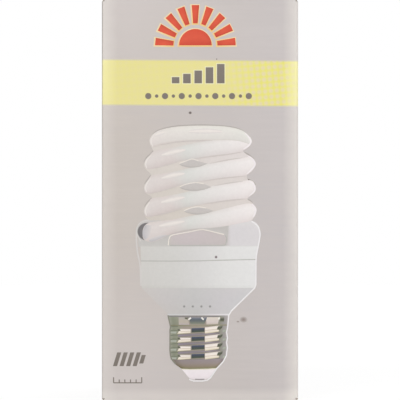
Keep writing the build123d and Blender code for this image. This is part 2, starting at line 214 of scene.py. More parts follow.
# Offset print on clay-coated board under a matt varnish: flat colour, soft sheen, faint screen
def claycoatedPrint():
    look = cartonLook
    material, add, at, _ = newMaterial("claycoated_print")
    x, y, z = add("SeparateXYZ", [at]).outputs
    cloud = noise(add, at, look["cloud"], 3.0)
    drawn = add("Mapping", {"Vector": at, "Scale": (0.08, 0.08, 1.0)})  # streaks lie level
    streaks = noise(add, drawn, look["streak"], 3.0)
    uneven = mix(add, look["streakShare"], cloud, streaks)
    even = add("ValToRGB", [uneven], look["ground"])
    # painted light: a warm tint on the left, cooler on the right
    across = add("MapRange", [x, -half, half])
    lightTint = add("ValToRGB", [across], look["lightTint"])
    tinted = mix(add, 1.0, even, lightTint, **times)
    # painted light: paler towards the left, the more the farther from the middle height
    middleZ, lightStart, lightEnd, lightShare = look["fade"]
    offMiddle = add("Math", [z, middleZ], operation="SUBTRACT")
    offMiddle = add("Math", [offMiddle], operation="ABSOLUTE")
    toEnds = add("MapRange", [offMiddle, lightStart, lightEnd, 0.0, lightShare])
    lightRight, lightLeft = look["lightSide"]
    toLeft = add("MapRange", [x, half * lightRight, half * lightLeft])
    leftLighting = add("Math", [toEnds, toLeft], operation="MULTIPLY")
    ground = mix(add, leftLighting, tinted, linear(look["leftLight"]), **rgba)
    # halftone of the yellow band, by the distance from a tilted lattice, clear only on the right
    tilt = {"Rotation": (0.0, look["dotTilt"], 0.0), "Location": look["dotShift"]}
    turned = add("Mapping", {"Vector": at, **tilt})
    lattice = {"Scale": 1 / look["dotSpacing"], "Randomness": 0.0}
    dots = add("TexVoronoi", {"Vector": turned, **lattice})
    sharp = add("MapRange", [x, *look["dotsFrom"], 1.0])
    screen = mix(add, sharp, look["dotMean"], dots)
    yellow = add("ValToRGB", [screen], look["dots"])
    (foot, top), soft = look["band"], look["bandEdge"]
    level = add("Math", [x, look["bandTilt"], z], operation="MULTIPLY_ADD")
    above = add("MapRange", [level, foot - soft, foot + soft])
    below = add("MapRange", [level, top + soft, top - soft])
    inBand = add("Math", [above, below], operation="MULTIPLY")
    inked = mix(add, inBand, ground, yellow, **rgba)
    # pale where both |x| and |y| come near the half width, more on the right, and near the base: partly ink
    # rubbed thin at the folds, partly painted light on their curve and on the base
    sideX = add("Math", [x], operation="ABSOLUTE")
    sideY = add("Math", [y], operation="ABSOLUTE")
    nearFold = add("Math", [sideX, sideY], operation="MINIMUM")
    notch, depth = look["grit"]
    ragged = add("Math", [noise(add, at, notch, 4.0), depth, nearFold], operation="MULTIPLY_ADD")
    paleLow, paleHigh = look["paleLeft"]
    onLeft = add("MapRange", [z, foot, top, paleLow, paleHigh])
    share = add("MapRange", [x, -half, half, onLeft, look["paleRight"]])
    paleStart, paleFull = look["foldPale"]
    folds = add("MapRange", [ragged, half - paleStart, half - paleFull, 0.0, share])
    base = add("MapRange", [z, *look["base"]])
    wornAndLit = add("Math", [folds, base], operation="ADD", use_clamp=True)
    # colour of the pale folds and base: worn ink with painted light
    thin = mix(add, inBand, linear(look["wornAndLit"]), linear(look["wornAndLitYellow"]), **rgba)
    pale = mix(add, wornAndLit, inked, thin, **rgba)
    # painted shade in a thin line down the front left fold, less lower down
    edge = look["shadeEdge"]
    atLeft = add("MapRange", [x, edge - half, edge / 2 - half])
    shadeStart, shadeFull, shadeShare = look["shadeFront"]
    atFront = add("MapRange", [y, shadeStart - half, shadeFull - half, 0.0, shadeShare])
    higher = add("MapRange", [z, *look["shadeRise"], 1.0])
    downFold = add("Math", [atLeft, higher], operation="MULTIPLY")
    foldShade = add("Math", [downFold, atFront], operation="MULTIPLY")
    finishedGround = mix(add, foldShade, pale, linear(look["foldShade"]), **rgba)
    fibre = noise(add, at, varnish["fibre"], 5.0)
    return closeMaterial(material, {"Base Color": finishedGround, **varnish["sheen"]}, fibre, *varnish["relief"])


boardSides = [  # outside, inside, edge
    claycoatedPrint(),
    # unprinted recycled back of the board: grey-brown, matt, with flecks of fibre
    mottled(
        "recycled_greyback", {0.25: "#9c9487", 0.5: "#b3aa9c", 0.75: "#c2baad"}, 1.2,
        {"Roughness": 0.85, "Specular IOR Level": 0.2}, (0.05, 0.5), 6.0, 0.7,
    ),
    # knife-cut edge of the board: pale fibres, matt
    mottled(
        "cut_board_edge", {0.3: "#bdb4a6", 0.7: "#d8d1c5"}, 0.3,
        {"Roughness": 0.9, "Specular IOR Level": 0.2}, (0.05, 0.6), 4.0,
    ),
]
boardFaces = {
    "inset": 1.5,  # inner box of the body, in from its panels and its floor
    "topInset": 1.4,
    "outward": 0.5,  # least share of a normal along the way out, and on the lid
    "lidOutward": 0.6,
    "straight": 0.9,  # least share along an axis at a cut edge
    "edge": 0.55,  # reach of a panel's top edge, a little over the board
    "tuck": 5.0,  # the tuck's tip is lower than this below the top
    "back": 0.1,  # reach of the lid's back edge
}


def triangles(node):  # centres and normals of a node's faces, in mm and in the frame's axes
    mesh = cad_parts[node].data
    centres = np.empty(len(mesh.polygons) * 3)
    normals = np.empty(len(mesh.polygons) * 3)
    mesh.polygons.foreach_get("center", centres)
    mesh.polygons.foreach_get("normal", normals)
    return centres.reshape(-1, 3) / mm, normals.reshape(-1, 3)


def sidesBy(facing, least):  # 0 outside, 1 inside and 2 edge, by how far a normal goes out
    return np.where(facing > least, 0, np.where(facing < -least, 1, 2))


# Each face of the body is outside, inside or edge by its normal against the way out of a smaller inner box
centres, normals = triangles("carton_body")
inner = half - boardFaces["inset"]
innerLow = [-inner, -inner, boardFaces["inset"]]
innerHigh = [inner, inner, cartonHigh[2] - boardFaces["topInset"]]
wayOut = centres - np.clip(centres, innerLow, innerHigh)
wayOut /= np.maximum(np.linalg.norm(wayOut, axis=1, keepdims=True), 1e-6)
sides = sidesBy((wayOut * normals).sum(1), boardFaces["outward"])
reach = np.abs(centres[:, :2]).max(1)
panelEdge = (normals[:, 2] > boardFaces["straight"]) & (reach > half - boardFaces["edge"])
dress("carton_body", *boardSides, sides=np.where(panelEdge, 2, sides))

# The lid's outside faces up and forward, its tuck's tip and back edge are cut
centres, normals = triangles("top_lid")
sides = sidesBy(normals[:, 2] - normals[:, 1], boardFaces["lidOutward"])
tuckTip = (normals[:, 2] < -boardFaces["straight"]) & (centres[:, 2] < cartonHigh[2] - boardFaces["tuck"])
backEdge = (normals[:, 1] > boardFaces["straight"]) & (centres[:, 1] > half - boardFaces["back"])
dress("top_lid", *boardSides, sides=np.where(tuckTip | backEdge, 2, sides))
print("carton board dressed")

# Lamp inside the carton

# Glass coil. Half of its path is a level leg, four tilted half circles and half of the crown. A half circle
# turns about its middle, from half its rise below to half above. The path's other half is the first turned.
coilLook = {
    "tube": 3.8,
    "legArc": 50.0,  # degrees of level tube at each end
    "legSteps": 16,
    "legDrop": 0.5,  # extra rise of the lowest half circle
    "crownRise": 2.3,  # extra rise of the highest half circle
    "halfCircles": 4,
    "steps": 44,  # along a half circle
    "around": 32,
}
coilLow, coilHigh = boxMm("spiral_tube")
tube = coilLook["tube"]
coilRadius = (coilHigh[0] - coilLow[0]) / 2 - tube
legLevel, crownLevel = coilLow[2] + tube, coilHigh[2] - tube
rowRise = (crownLevel - legLevel - coilLook["legDrop"] - coilLook["crownRise"]) / coilLook["halfCircles"]
rises = np.full(coilLook["halfCircles"], rowRise)
rises[0] += coilLook["legDrop"]
rises[-1] += coilLook["crownRise"]
lead = np.radians(np.linspace(180 - coilLook["legArc"], 180, coilLook["legSteps"]))
leg = coilRadius * np.stack([np.cos(lead), np.sin(lead)], -1)
halfPath = [np.column_stack([leg, np.full(len(leg), legLevel)])]
level, heading = legLevel, np.pi
for rise in rises:
    turn = np.linspace(0, np.pi, coilLook["steps"])[1:, None]
    start = np.array([coilRadius * np.cos(heading), coilRadius * np.sin(heading), -rise / 2])
    side = np.hypot(coilRadius, rise / 2) * np.array([-np.sin(heading), np.cos(heading), 0.0])
    halfPath.append(np.array([0.0, 0.0, level + rise / 2]) + np.cos(turn) * start + np.sin(turn) * side)
    level, heading = level + rise, heading + np.pi
turn = heading + np.linspace(0, np.pi, coilLook["steps"] // 2)[1:]
crownMiddle = coilRadius / 2 * np.array([np.cos(heading), np.sin(heading)])
crown = crownMiddle + coilRadius / 2 * np.stack([np.cos(turn), np.sin(turn)], -1)
halfPath.append(np.column_stack([crown, np.full(len(crown), level)]))
halfPath = np.concatenate(halfPath)
path = np.concatenate([halfPath, (halfPath * [-1, -1, 1])[-2::-1]])
run = np.gradient(path, axis=0)
run /= np.linalg.norm(run, axis=1, keepdims=True)
up = np.array([0.0, 0.0, 1.0]) - run[:, 2:] * run
up /= np.linalg.norm(up, axis=1, keepdims=True)
aside = np.cross(run, up)
ends = np.pad(np.arange(len(path)), 1, mode="edge")  # each end once more, drawn in to a point
thick = np.full(len(ends), tube)
thick[[0, -1]] = 0.0
angle = np.linspace(0, 2 * np.pi, coilLook["around"], endpoint=False)[None, :, None]
ring = np.cos(angle) * up[ends, None] + np.sin(angle) * aside[ends, None]
coilGrid = path[ends, None] + thick[:, None, None] * ring
# glass tube with white powder baked inside: an even milky white under a clear, sharp gloss
phosphorGlass = mottled(
    "phosphor_coated_glass", {0.3: "#eceae5", 0.7: "#f4f3ef"}, 9.0,
    {"Roughness": 0.3, "Coat Weight": 0.8, "Coat Roughness": 0.04}, (0.02, 0.2),
)
coil = surfacePiece("glass_coil", [coilGrid], phosphorGlass, closed=(False, True))
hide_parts("spiral_tube")

# Screw cap, rolled from thin sheet. Below a plain skirt the radius waves between crest and root along a
# right-hand helix, so its phase is height over pitch less the turn. A bowl then draws in to the mouth, and
# the inside follows.
capLook = {
    "skirt": 5.0,
    "pitch": 3.63,
    "turns": 4,
    "depth": 1.05,
    "ease": 1.6,  # height over which the thread sets in and runs out
    "mouth": 8.0,
    "wall": 0.3,
    "around": 96,
    "rows": 150,
    "bowlRows": 20,
}
capLow, capHigh = boxMm("screw_shell")
crest = capHigh[0]
threadTop = capHigh[2] - capLook["skirt"]
threadFoot = threadTop - capLook["turns"] * capLook["pitch"]
bowl = threadFoot - capLow[2]
angle = np.linspace(0, 2 * np.pi, capLook["around"], endpoint=False)[None, :]
z = np.linspace(threadFoot, capHigh[2], capLook["rows"])[:, None]
fade = np.clip((z - threadFoot) / capLook["ease"], 0, 1) * np.clip((threadTop - z) / capLook["ease"], 0, 1)
wave = 0.5 - 0.5 * np.cos(2 * np.pi * z / capLook["pitch"] - angle)
wallOut = crest - capLook["depth"] * fade * wave
sweep = np.linspace(np.arccos((capLook["mouth"] - crest + bowl) / bowl), 0, capLook["bowlRows"])[:-1, None]
profile = []
for inset in (0.0, capLook["wall"]):
    bowlRadius = crest - bowl + (bowl - inset) * np.cos(sweep) + 0 * angle
    bowlZ = threadFoot - (bowl - inset) * np.sin(sweep) + 0 * angle
    radius = np.concatenate([bowlRadius, wallOut - inset])
    height = np.concatenate([bowlZ, z + 0 * angle])
    profile.append(np.stack([radius * np.cos(angle), radius * np.sin(angle), height], -1))
capGrid = np.concatenate([profile[0], profile[1][::-1]])
# rolled nickel-plated sheet: grey mirror with a soft blur, a little streaked by the rolling
nickelSheet = mottled(
    "nickel_plated_sheet", {0.3: "#aaa69f", 0.7: "#c2beb6"}, 2.5,
    {"Metallic": 1.0, "Roughness": 0.27}, (0.01, 0.25), 5.0,
)
cap = surfacePiece("thread_shell", [capGrid], nickelSheet, closed=(True, True))
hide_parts("screw_shell")

lampMaterials = {  # what mottled takes, by the nodes that wear it
    # moulded polyester: white, satin, with a fine skin
    ("tube_cover", "lamp_housing"): (
        "moulded_polyester", {0.3: "#e2e2df", 0.7: "#e8e8e5"}, 6.0, {"Roughness": 0.42}, (0.02, 0.3), 8.0,
    ),
    # glazed porcelain: cool white with a wet gloss
    ("cap_insulator",): (
        "glazed_porcelain", {0.3: "#e4dcdf", 0.7: "#ece6e8"}, 3.0,
        {"Roughness": 0.2, "Coat Weight": 0.7, "Coat Roughness": 0.05}, (0.02, 0.3),
    ),
    # phenolic paper board: brown, matt, cloudy with fibre
    ("circuit_board",): (
        "phenolic_paper", {0.3: "#8f6a38", 0.7: "#a8834d"}, 1.5, {"Roughness": 0.6}, (0.02, 0.4), 6.0,
    ),
    # sintered ferrite: charcoal, dull, grainy
    ("choke_core", "drive_toroid"): (
        "sintered_ferrite", {0.35: "#2f2f32", 0.65: "#414145"}, 0.5, {"Roughness": 0.7}, (0.04, 0.5), 6.0,
    ),
    # film capacitors dipped in resin: red-brown, glossy, lumpy
    ("film_capacitors",): (
        "dipped_resin", {0.3: "#7c2f1a", 0.7: "#99422a"}, 1.8, {"Roughness": 0.22}, (0.15, 0.5),
    ),
    # transistor packages: black filled resin, dull from the mould
    ("power_transistors",): (
        "moulded_resin", {0.3: "#191919", 0.7: "#242424"}, 0.4, {"Roughness": 0.55}, (0.02, 0.4), 5.0,
    ),
    # stranded lead in white vinyl: soft sheen, a little grubby
    ("contact_lead",): (
        "vinyl_sleeve", {0.3: "#cfcdc8", 0.7: "#e0deda"}, 2.0, {"Roughness": 0.38}, (0.03, 0.3),
    ),
}
for nodes, look in lampMaterials.items():
    material = mottled(*look)
    for node in nodes:
        dress(node, material)


def shrinkSleeve():  # dark plastic sleeve shrunk over the can: glossy, with one pale stripe up its side
    material, add, at, _ = newMaterial("shrink_sleeve")
    _, y, _ = add("SeparateXYZ", [at]).outputs
    low, high = boxMm("mains_capacitor")
    edge = low[1] + 0.06 * (high[1] - low[1])
    stripe = add("MapRange", [y, edge + 0.05, edge - 0.05])
    colour = add("ValToRGB", [stripe], {0: "#1c2029", 1: "#aab0b4"})
    ripple = noise(add, at, 3.0, 2.0)
    return closeMaterial(material, {"Base Color": colour, "Roughness": 0.25}, ripple, 0.05, 0.3)


def windingTape():  # polyester tape wound over the choke's wire: amber, glossy, in overlapping turns
    material, add, at, _ = newMaterial("winding_tape")
    saw = {"bands_direction": "Z", "wave_profile": "SAW"}
    laps = add("TexWave", {"Vector": at, "Scale": 1 / 9.0, "Distortion": 0.6}, **saw).outputs["Fac"]
    colour = add("ValToRGB", [laps], {0: "#b98d22", 0.85: "#d9b348", 1: "#c79c30"})
    return closeMaterial(material, {"Base Color": colour, "Roughness": 0.28}, laps, 0.06, 0.6)


def solderedBrass():  # brass button with a dull grey dome of solder run over its middle
    material, add, at, _ = newMaterial("soldered_brass")
    flat = add("VectorMath", [at, (1.0, 1.0, 0.0)], operation="MULTIPLY")
    out = add("VectorMath", [flat], operation="LENGTH")
    grit = noise(add, at, 1.2, 4.0)
    ragged = add("Math", [grit, 1.6, out], operation="MULTIPLY_ADD")
    rim = add("MapRange", [ragged, 3.3, 3.6])  # the solder's rim, in mm from the axis
    colour = add("ValToRGB", [rim], {0: "#b4b3af", 1: "#bd9d5c"})
    metal = {"Base Color": colour, "Metallic": 1.0, "Roughness": 0.36}
    return closeMaterial(material, metal, grit, 0.06, 0.4)


dress("mains_capacitor", shrinkSleeve())
dress("choke_winding", windingTape())
dress("centre_contact", solderedBrass())
print("lamp built and dressed")


# Printed picture on the front panel: flat fields of ink, each a thin layer over the one below.
# The printed lamp is laid out in real lamp millimetres from its tip and axis, and then scaled onto the panel.

picture = {
    "scale": 0.6725,  # printed lamp over the real one
    "axis": -0.43,  # of the printed lamp, from the panel's middle
    "tip": 6.73,  # foot of the printed lamp, above the base
    "layer": 0.012,  # height of one layer of ink, thicker than real so that layers stay apart
    "bite": 0.01,  # how far the ink goes into the board
}


# Ink: flat shapes at their layer's height in front of the panel, thickened back into the board.
# It is an ink that is there already, or the name and the ramps of a new one.
def inkPiece(name, shapes, layer, ink, *ramps):
    material = printedInk(ink, *ramps) if ramps else ink
    proud = layer * picture["layer"]
    grids = [np.insert(shape, 1, -half - proud, axis=-1) for shape in shapes]
    piece = surfacePiece(name, grids, material, smooth=False)
    body = piece.modifiers.new("body", "SOLIDIFY")
    body.thickness = (proud + picture["bite"]) * mm
    body.offset = -1.0


# Ink of the printed lamp: shapes in lamp millimetres times the picture's scale, moved to its axis and tip
def lampInk(name, shapes, layer, *ink):
    place = [picture["axis"], picture["tip"]]
    inkPiece(name, [shape * picture["scale"] + place for shape in shapes], layer, *ink)


# Field of ink: rows step evenly from a lower edge to an upper one, point by point
def between(low, high, rows=2):
    low, high = np.asarray(low, float), np.asarray(high, float)
    share = np.linspace(0, 1, rows)[:, None, None]
    return low[None] * (1 - share) + high[None] * share


# Disc: rings out from the middle, columns round it clockwise
def disc(centre, radiusX, radiusZ, rows=4, columns=29):
    turn = -np.linspace(0, 2 * np.pi, columns)
    ring = np.linspace(0, 1, rows)[:, None]
    return np.stack([radiusX * ring * np.cos(turn), radiusZ * ring * np.sin(turn)], -1) + centre


# Stroke: a strip along a path, half to each side; its width may change along it
def stroke(path, width):
    path = np.asarray(path, float)
    run = np.gradient(path, axis=0)
    run /= np.linalg.norm(run, axis=1, keepdims=True)
    across = np.stack([-run[:, 1], run[:, 0]], -1) * np.broadcast_to(width, len(path))[:, None] / 2
    return between(path - across, path + across, 3)


# Smooth line through a few points: between two of them a cubic whose slope at each is half the step across it
def smoothLine(points, steps=6):
    points = np.asarray(points, float)
    held = np.concatenate([2 * points[:1] - points[1:2], points, 2 * points[-1:] - points[-2:-1]])
    a, b, c, d = (held[k:len(held) - 3 + k, None] for k in range(4))
    t = np.linspace(0, 1, steps, endpoint=False)[None, :, None]
    bend, twist = a - 2.5 * b + 2 * c - d / 2, 1.5 * (b - c) + (d - a) / 2
    line = b + t * (c - a) / 2 + t ** 2 * bend + t ** 3 * twist
    return np.concatenate([line.reshape(-1, 2), points[-1:]])


# Swelling: a stroke on a smooth line, its width a flattened half sine from a fine start to a fine end
def swelling(points, width):
    line = smoothLine(points)
    return stroke(line, width * np.sin(np.linspace(0.12, np.pi - 0.12, len(line))) ** 0.6)


# Offset ink under the varnish, ramped over the field's own grid: across its rows, and a tint along them
def printedInk(name, across, along=None):
    material, add, at, uv = newMaterial(name)
    u, v, _ = add("SeparateXYZ", [uv]).outputs
    colour = add("ValToRGB", [v], across)
    if along:
        tint = add("ValToRGB", [u], along)
        colour = mix(add, 1.0, colour, tint, **times)
    fibre = noise(add, at, varnish["fibre"], 5.0)
    mottle = add("ValToRGB", [fibre], {0.3: "#fbfbfb", 0.7: "#ffffff"})
    uneven = mix(add, 1.0, colour, mottle, **times)
    return closeMaterial(material, {"Base Color": uneven, **varnish["sheen"]}, fibre, *varnish["relief"])


# Printed coil: its whole outline in the colour of the far rows, then the near rows, which rise to the right
printedCoil = {
    "outline": (  # left and right, down from the top
        ((1.0, 115.8), (-7.8, 115.5), (-13.3, 114.8), (-18.2, 113.5), (-20.9, 111.7), (-22.2, 109.5),
         (-22.2, 107.7), (-21.1, 105.4), (-20.5, 103.9), (-22.3, 102.3), (-24.1, 100.3), (-24.8, 98.2),
         (-24.2, 96.2), (-22.3, 94.4), (-21.6, 93.2), (-22.8, 91.4), (-24.4, 89.2), (-24.9, 87.3),
         (-24.1, 85.2), (-21.8, 83.8), (-21.2, 82.8), (-22.9, 81.0), (-24.4, 78.9), (-24.9, 76.9),
         (-24.4, 74.8), (-23.5, 73.5), (-22.1, 72.4)),
        ((1.0, 115.8), (10.6, 115.5), (16.6, 114.6), (20.3, 113.3), (22.6, 111.4), (24.2, 109.1),
         (23.8, 107.3), (22.1, 105.7), (20.1, 104.5), (21.5, 102.9), (24.2, 101.4), (25.8, 99.4),
         (26.0, 97.8), (25.0, 96.2), (23.2, 94.5), (21.9, 93.0), (22.4, 91.1), (24.6, 90.1), (25.9, 88.4),
         (26.0, 86.7), (25.2, 85.0), (22.2, 82.5), (24.0, 81.0), (26.1, 78.7), (26.4, 76.8), (25.7, 74.9),
         (24.2, 72.6)),
    ),
    "middle": (  # lower and upper edge of each near row
        ((-24.8, 87.1), (-24.6, 86.0), (-23.9, 85.0), (-21.6, 84.9), (-19.3, 85.5), (-14.3, 87.0),
         (-9.7, 88.3), (-5.5, 89.2), (-1.4, 90.0), (4.2, 90.9), (10.6, 91.8), (16.6, 92.4), (21.0, 93.0),
         (23.6, 94.5), (25.2, 96.4), (25.9, 98.1)),
        ((-24.8, 87.1), (-24.7, 88.2), (-24.2, 89.2), (-22.9, 91.2), (-21.2, 93.2), (-17.0, 93.9),
         (-12.4, 94.7), (-6.9, 95.8), (-1.4, 97.1), (4.2, 98.4), (9.7, 99.6), (15.3, 100.5), (19.9, 101.1),
         (23.1, 101.5), (25.0, 100.6), (25.9, 98.2)),
    ),
    "shift": -10.5,  # from the middle row to the one below
    "top": (
        ((-24.6, 98.1), (-24.4, 97.0), (-23.7, 96.2), (-21.6, 96.0), (-19.3, 96.6), (-14.3, 98.0),
         (-9.7, 99.3), (-5.5, 100.1), (-1.4, 100.8), (4.2, 101.7), (10.6, 102.5), (16.6, 103.4),
         (20.2, 104.4), (22.1, 105.6), (23.6, 107.0), (24.1, 108.6)),
        ((-24.6, 98.1), (-24.5, 99.2), (-23.8, 100.2), (-22.3, 102.0), (-20.7, 103.9), (-17.0, 104.9),
         (-12.4, 105.7), (-6.9, 106.8), (-1.4, 107.9), (4.2, 108.9), (9.7, 109.6), (15.3, 110.2),
         (19.9, 110.8), (22.6, 110.9), (23.7, 110.2), (24.1, 108.7)),
    ),
    "leg": (
        ((-25.5, 66.9), (-25.2, 64.7), (-23.8, 63.3), (-21.0, 62.9), (-17.4, 64.2), (-12.9, 66.4),
         (-7.8, 67.9), (-3.2, 68.7), (2.8, 69.1), (8.3, 69.5), (13.9, 70.4), (18.9, 71.5), (23.1, 72.4),
         (25.5, 74.5), (26.3, 76.9)),
        ((-25.5, 66.9), (-25.3, 68.5), (-24.3, 70.5), (-21.9, 71.8), (-16.1, 72.6), (-11.5, 73.2),
         (-6.9, 74.1), (-1.4, 75.1), (4.2, 76.2), (9.7, 77.5), (15.3, 78.9), (19.9, 80.0), (23.1, 80.4),
         (25.2, 79.6), (26.3, 76.9)),
    ),
    "crown": (
        ((-22.2, 108.0), (-21.6, 106.7), (-19.8, 106.3), (-17.0, 107.1), (-13.3, 107.8), (-7.8, 108.6),
         (1.0, 109.0), (8.3, 109.1), (14.3, 109.1), (18.4, 108.7), (21.0, 108.0), (22.8, 107.4),
         (23.7, 107.2)),
        ((-22.2, 108.1), (-22.2, 109.5), (-20.9, 111.7), (-18.2, 113.5), (-13.3, 114.8), (-7.8, 115.5),
         (1.0, 115.8), (10.6, 115.5), (16.6, 114.6), (20.3, 113.3), (22.6, 111.4), (24.2, 109.1),
         (23.8, 107.4)),
    ),
}


# Field between two smooth lines, point by point
def smoothField(low, high, rows):
    return between(smoothLine(low), smoothLine(high), rows)


outline = [smoothLine(side) for side in printedCoil["outline"]]
lampInk(
    "print_far_rows", [between(*outline, 9)], 1, "ink_far_rows",
    {0: "#dad3cd", 0.3: "#dcd5cf", 0.6: "#dfd8d5", 0.85: "#e2dbd9", 1: "#e2dad8"},
    {0: "#ffffff", 0.35: "#fffefd", 0.65: "#fbfaf7", 1: "#f8f6f2"},
)


# The outline's given points on one side, in parts between two heights, moved a little
def sideParts(side, shift, *spans):
    line = outline[side]
    return [line[(line[:, 1] < high) & (line[:, 1] > low)][::6] + shift for high, low in spans]


# Thin shade outside the crown and the upper flank of each bulge
flanks = sideParts(0, [-0.2, 0.0], (104.4, 98.8), (93.4, 87.8), (83.0, 77.4))
flanks += sideParts(1, [0.2, 0.1], (103.9, 99.9), (91.6, 88.6), (82.4, 79.2))
[crownLeft], [crownRight] = sideParts(0, 0.0, (116.0, 110.0)), sideParts(1, 0.0, (115.7, 112.3))
overCrown = np.concatenate([crownLeft[::-1], crownRight]) + [-0.1, 0.15]
lampInk(
    "print_coil_edge", [swelling(part, 0.75) for part in [overCrown, *flanks]], 0.5,
    "ink_coil_edge", {0: "#bfb7b2", 0.5: "#b0a8a3", 1: "#b8b0ab"},
)

middleRow, topRow, legRow, crownRow = (
    smoothField(*printedCoil[row], 11) for row in ("middle", "top", "leg", "crown")
)
lowerRow = middleRow + [0.0, printedCoil["shift"]]
lampInk(
    "print_near_rows", [middleRow, lowerRow, topRow, legRow], 6, "ink_near_rows",
    {0: "#e7e0de", 0.12: "#ebe5e3", 0.4: "#f2eeec", 0.75: "#f5f2f0", 1: "#f0ebe8"},
    {0: "#e9e4e1", 0.2: "#e9e4e2", 0.37: "#e9e3e1", 0.48: "#e7eae7", 0.62: "#f2f1f0", 0.8: "#fbf8f8",
     1: "#fffcfc"},
)
lampInk(
    "print_crown", [crownRow], 7, "ink_crown",
    {0: "#dcd5d1", 0.15: "#e2dedb", 0.45: "#e7e3e0", 0.8: "#ebe8e4", 1: "#e7e4df"},
    {0: "#f8f2f0", 0.25: "#faf6f4", 0.5: "#fdfcf9", 0.75: "#fbfcf9", 1: "#fefdfc"},
)
legShade = [(-24.2, 70.5), (-25.4, 67.9), (-25.3, 65.6), (-24.3, 64.0)]
legLight = [(-21.2, 70.5), (-21.6, 68.2), (-21.9, 66.4), (-22.6, 65.0)]
legUnder = [(-22.5, 63.2), (-20.8, 63.1), (-17.5, 64.4), (-14.5, 65.8)]
legSide = [(-22.5, 64.3), (-20.4, 65.2), (-17.3, 66.1), (-14.5, 66.2)]
lampInk(
    "print_leg_end", [smoothField(legShade, legLight, 4), smoothField(legUnder, legSide, 4)], 7,
    "ink_leg_end", {0: "#c1bec0", 0.4: "#cbc7c8", 1: "#dad3d0"},
)

# Pale lines inside each bulge, soft ones where a row's edge turns away, and gleams on the rows' shoulders
rowLines = (
    ((-19.3, 96.5), (-14.3, 97.9), (-9.6, 99.2)),
    ((-2.0, 100.6), (4.6, 101.7), (13.4, 102.7), (19.9, 103.8)),
    ((-19.3, 85.4), (-14.3, 86.9), (-9.4, 88.3)),
    ((1.0, 90.4), (10.6, 91.8), (21.3, 92.9)),
    ((-19.3, 74.8), (-13.3, 76.4), (-7.3, 78.0)),
    ((2.3, 80.2), (12.9, 81.7), (21.2, 82.5)),
    ((-17.3, 107.0), (-9.7, 108.4), (1.0, 109.0), (6.3, 108.9)),
    ((5.0, 98.5), (13.4, 100.2), (19.9, 101.1)),
    ((7.0, 88.4), (13.4, 89.6), (20.2, 90.5)),
)
gleams = (
    ((-16.8, 102.4), (-11.5, 103.7), (-6.0, 104.8)),
    ((-16.8, 91.9), (-11.5, 93.2), (-6.4, 94.0)),
    ((-17.0, 80.9), (-11.5, 82.2), (-6.4, 83.2)),
    ((-18.0, 70.1), (-12.4, 71.2), (-6.4, 72.3)),
    ((-4.6, 113.0), (3.0, 113.3), (10.8, 113.1)),
    ((-19.6, 111.4), (-17.8, 112.3), (-15.2, 112.9)),
)
leftBulges = sideParts(0, [0.75, 0.0], (112.5, 106.0), (102.5, 95.5), (91.8, 84.8), (81.2, 74.3))
rightBulges = sideParts(1, [-0.55, 0.0], (112.5, 104.8), (102.2, 93.6), (90.6, 83.2), (80.6, 73.2))
gleamInk = printedInk(
    "ink_gleam", {0: "#ddd7d4", 0.3: "#e8e1dc", 0.55: "#efe8e2", 0.75: "#e8e1dc", 1: "#dfd8d5"},
)
lampInk("print_bulge_light", [swelling(part, 0.9) for part in leftBulges], 7.5, gleamInk)
lampInk(
    "print_bulge_rim", [swelling(part, 0.8) for part in rightBulges], 7.5,
    "ink_rim_light", {0: "#f1eaea", 0.5: "#f7f0f1", 1: "#f3eced"},
)
lampInk(
    "print_row_lines", [swelling(line, 0.55) for line in rowLines], 8,
    "ink_row_line", {0: "#d3cac5", 0.5: "#d1c8c4", 1: "#d5cdc9"},
)
lampInk("print_gleams", [swelling(line, 2.3) for line in gleams], 8, gleamInk)

# Gaps between the rows, where the ground shows: a low roof over a shallow bowl, with a pale line on the roof
gaps = (  # roof and bowl of each
    (((-8.8, 98.4), (-6.0, 99.4), (-3.0, 100.4), (0.0, 99.6), (3.8, 98.5)),
     ((-8.8, 98.3), (-7.3, 97.4), (-3.7, 96.7), (0.3, 97.1), (3.8, 98.4))),
    (((-8.6, 87.8), (-5.5, 89.0), (-1.4, 89.7), (2.3, 89.2), (5.8, 87.9)),
     ((-8.6, 87.7), (-6.9, 86.8), (-2.3, 86.0), (2.1, 86.6), (5.8, 87.8))),
    (((-6.7, 76.9), (-3.7, 78.1), (-0.4, 78.7), (3.3, 78.2), (6.6, 77.1)),
     ((-6.7, 76.8), (-4.6, 76.0), (-0.4, 75.4), (3.5, 75.9), (6.6, 77.0))),
)
outlineInk = printedInk("ink_pale_outline", {0: "#e9e2d9", 1: "#ede6de"})
gapLines = [stroke(smoothLine(roof[:4]) + [0.0, 0.15], 0.42) for roof, _ in gaps]
lampInk(
    "print_gaps", [smoothField(hollow, roof, 4) for roof, hollow in gaps], 9,
    "ink_see_through", {0: "#bab4b0", 0.25: "#c8c2be", 1: "#cbc5c2"},
)
lampInk("print_gap_lines", gapLines, 10, outlineInk)
print("printed coil laid")

# Printed cover: two ears with rounded tops, the dark mouth of the left one and the window between them
earFoot = 60.7


# Ear: from a level foot up to a top with quarter circles for corners, its foot drawn in on the outer side
def earField(middle, halfWidth, top, corner, drawnIn=0.7):
    x = np.linspace(-halfWidth, halfWidth, 41)
    past = np.maximum(np.abs(x) - (halfWidth - corner), 0)
    high = top - corner + np.sqrt(np.maximum(corner ** 2 - past ** 2, 0))
    inset = 1 - drawnIn / halfWidth * np.clip(np.sign(middle) * x / halfWidth, 0, 1)
    foot = np.stack([middle + x * inset, np.full_like(x, earFoot)], -1)
    return between(foot, np.stack([middle + x, high], -1), 7)


